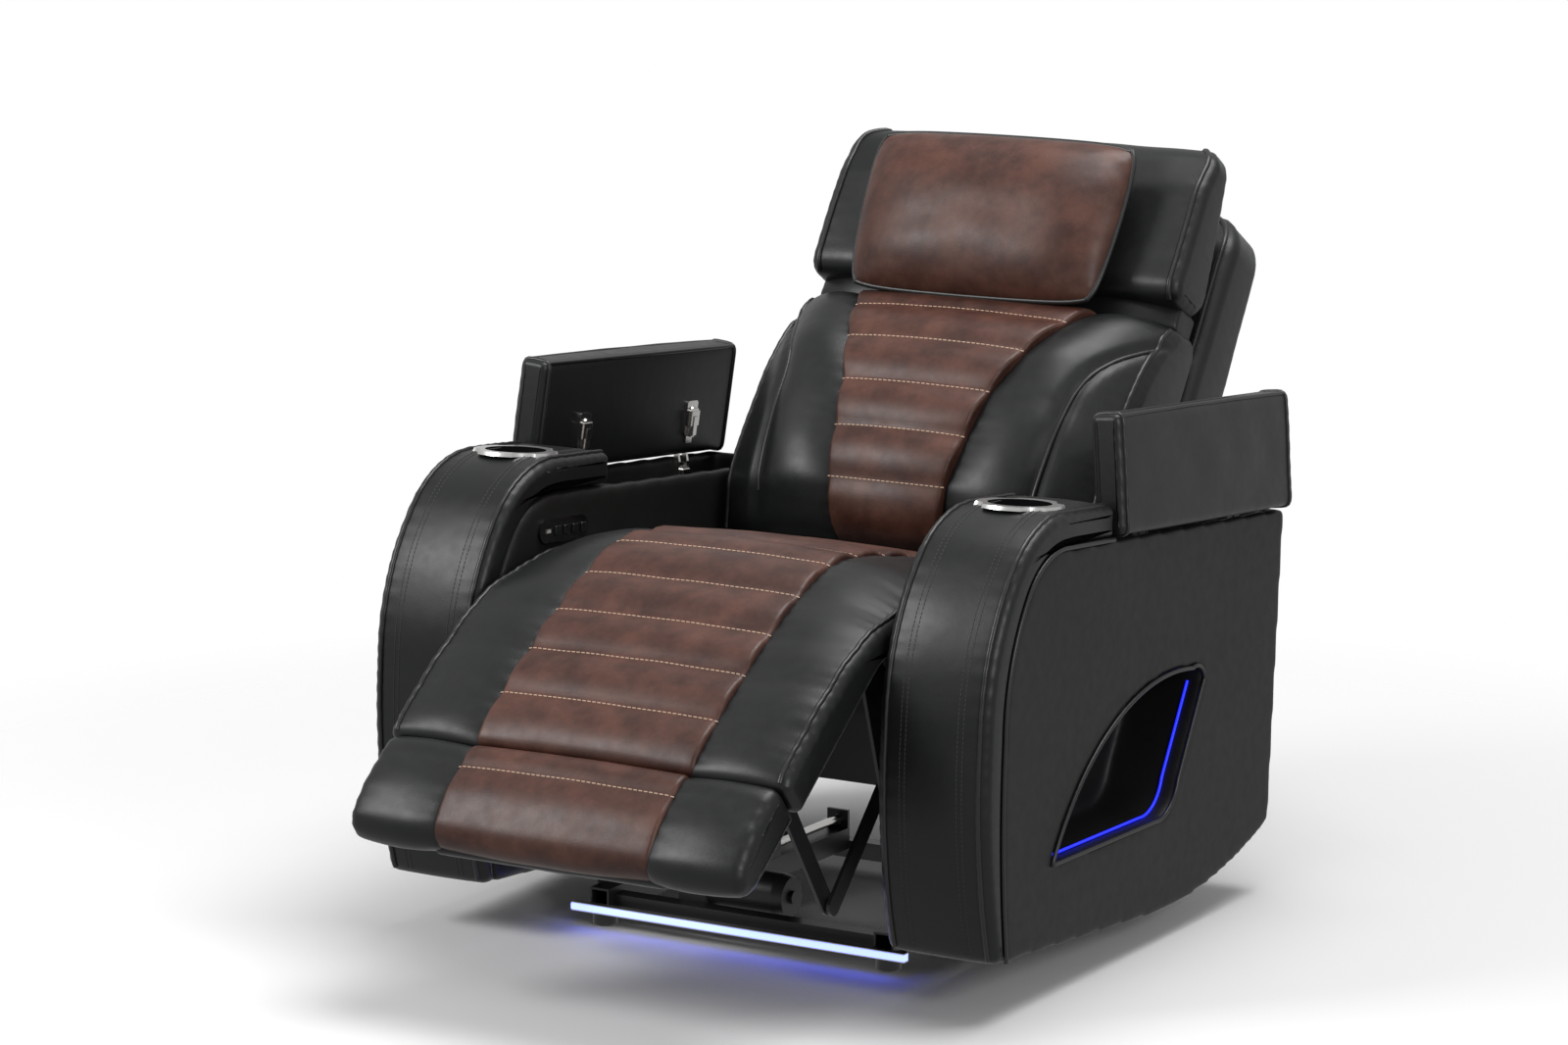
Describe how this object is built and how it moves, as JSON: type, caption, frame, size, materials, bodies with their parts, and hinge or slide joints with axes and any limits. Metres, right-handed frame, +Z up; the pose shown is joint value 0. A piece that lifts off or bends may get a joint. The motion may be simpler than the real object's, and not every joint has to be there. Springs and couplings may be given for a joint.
{
  "type": "power recliner",
  "caption": "Upholstered power recliner with padded storage arms, cup holders, side pockets, lit base bar, swinging footrest, reclining back and tilting headrest.",
  "frame": {"origin": "on the floor under the middle of the chair's bounding box", "axes": "+X to the right of someone facing the chair from its front, +Y from front to back, +Z up"},
  "size_m": [0.9662, 1.4455, 1.0237],
  "materials": {
    "black_leather": "soft sheen, fine grain",
    "brown_leather": "mottled, soft sheen",
    "satin_silver": "satin plated plastic",
    "nickel": "bright nickel",
    "light_blue": "lit diffuser",
    "aluminium": "extruded",
    "plywood": "raw plywood",
    "gloss_black": "gloss",
    "black_plastic": "matte",
    "black_steel": "satin black paint"
  },
  "bodies": {
    "base": {"base_rails": "black_steel", "floor_glides": "black_plastic", "front_cross_tube": "black_steel", "rear_cross_tube": "black_steel", "light_bar_channel": "aluminium", "light_bar_diffuser": "light_blue", "tilt_pivot_brackets": "black_steel", "gearbox_housing": "black_plastic", "drive_motor": "black_steel", "motor_end_cap": "black_plastic", "lead_screw": "nickel", "actuator_rail": "black_steel"},
    "slider": {"actuator_slider": "black_plastic"},
    "carriage": {"side_plate_left": "black_steel", "side_plate_right": "black_steel", "arm_spacer_bolts": "nickel", "footrest_hinge_tube": "black_steel", "seat_rail_front": "plywood", "seat_rail_rear": "plywood", "seat_deck": "plywood", "seat_center_panel": "brown_leather", "seat_side_panel_left": "black_leather", "seat_side_panel_right": "black_leather", "pocket_lights": "light_blue", "arm_box_left": "black_leather", "arm_box_right": "black_leather", "arm_front_pad_left": "black_leather", "arm_front_pad_right": "black_leather", "cup_holder_left": "satin_silver", "cup_holder_right": "satin_silver", "lid_hinge_bases": "nickel", "control_panel": "gloss_black", "usb_port": "black_plastic"},
    "footrest": {"chaise_center_panel": "brown_leather", "chaise_side_panel_left": "black_leather", "chaise_side_panel_right": "black_leather", "ottoman_center_panel": "brown_leather", "ottoman_side_panel_left": "black_leather", "ottoman_side_panel_right": "black_leather", "footrest_board": "plywood", "footrest_arms": "black_steel"},
    "front_links": {"footrest_front_links": "black_steel"},
    "rear_links": {"footrest_rear_links": "black_steel"},
    "lid_left": {"arm_lid_left": "black_leather", "lid_hinge_leaves_left": "nickel"},
    "lid_right": {"arm_lid_right": "black_leather", "lid_hinge_leaves_right": "nickel"},
    "back": {"back_shell": "black_leather", "back_brackets": "black_steel", "back_center_panel": "brown_leather", "back_side_bolster_left": "black_leather", "back_side_bolster_right": "black_leather", "headrest_hinge_rod": "black_steel"},
    "headrest": {"headrest_cushion": "black_leather", "headrest_pillow": "brown_leather", "headrest_brackets": "black_steel"},
    "button_1": {"button_1": "gloss_black"},
    "button_2": {"button_2": "gloss_black"},
    "button_3": {"button_3": "gloss_black"},
    "button_4": {"button_4": "gloss_black"}
  },
  "joints": [
    {"name": "seat_tilt", "type": "hinge", "parent": "base", "child": "carriage", "pos_m": [0, -0.16823, 0.1], "axis": [1, 0, 0], "range_deg": [-4, 4]},
    {"name": "back_recline", "type": "hinge", "parent": "carriage", "child": "back", "pos_m": [0, 0.21436, 0.39964], "axis": [1, 0, 0], "range_deg": [-18.5, 18.5]},
    {"name": "footrest_swing", "type": "hinge", "parent": "carriage", "child": "footrest", "pos_m": [0, -0.3443, 0.4386], "axis": [1, 0, 0], "range_deg": [-36, 40]},
    {"name": "front_link_fold", "type": "hinge", "parent": "footrest", "child": "front_links", "pos_m": [0, -0.52836, 0.29736], "axis": [1, 0, 0], "range_deg": [-31, 28]},
    {"name": "rear_link_fold", "type": "hinge", "parent": "carriage", "child": "rear_links", "pos_m": [0, -0.28746, 0.26861], "axis": [1, 0, 0], "range_deg": [-49.5, 55]},
    {"name": "actuator_slide", "type": "slide", "parent": "base", "child": "slider", "axis": [0, 1, 0], "range_m": [-0.06, 0.066]},
    {"name": "headrest_tilt", "type": "hinge", "parent": "back", "child": "headrest", "pos_m": [0, 0.51715, 0.74486], "axis": [1, 0, 0], "range_deg": [-12, 6]},
    {"name": "lid_left_swing", "type": "hinge", "parent": "carriage", "child": "lid_left", "pos_m": [-0.4555, 0.18545, 0.57395], "axis": [0, 0.9969, -0.0785], "range_deg": [0, 84]},
    {"name": "lid_right_swing", "type": "hinge", "parent": "carriage", "child": "lid_right", "pos_m": [0.4555, 0.18545, 0.57395], "axis": [0, 0.9969, -0.0785], "range_deg": [-84, 0]},
    {"name": "button_1_press", "type": "slide", "parent": "carriage", "child": "button_1", "axis": [-1, 0, 0], "range_m": [0, 0.0015], "stiffness_N_per_m": 700},
    {"name": "button_2_press", "type": "slide", "parent": "carriage", "child": "button_2", "axis": [-1, 0, 0], "range_m": [0, 0.0015], "stiffness_N_per_m": 700},
    {"name": "button_3_press", "type": "slide", "parent": "carriage", "child": "button_3", "axis": [-1, 0, 0], "range_m": [0, 0.0015], "stiffness_N_per_m": 700},
    {"name": "button_4_press", "type": "slide", "parent": "carriage", "child": "button_4", "axis": [-1, 0, 0], "range_m": [0, 0.0015], "stiffness_N_per_m": 700}
  ],
  "couplings": [
    {"joint": "back_recline", "follows": "seat_tilt", "ratio": 4.5},
    {"joint": "front_link_fold", "follows": "footrest_swing", "ratio": -0.75},
    {"joint": "rear_link_fold", "follows": "footrest_swing", "ratio": 1.34},
    {"joint": "actuator_slide", "follows": "footrest_swing", "m_per_rad": 0.09}
  ]
}
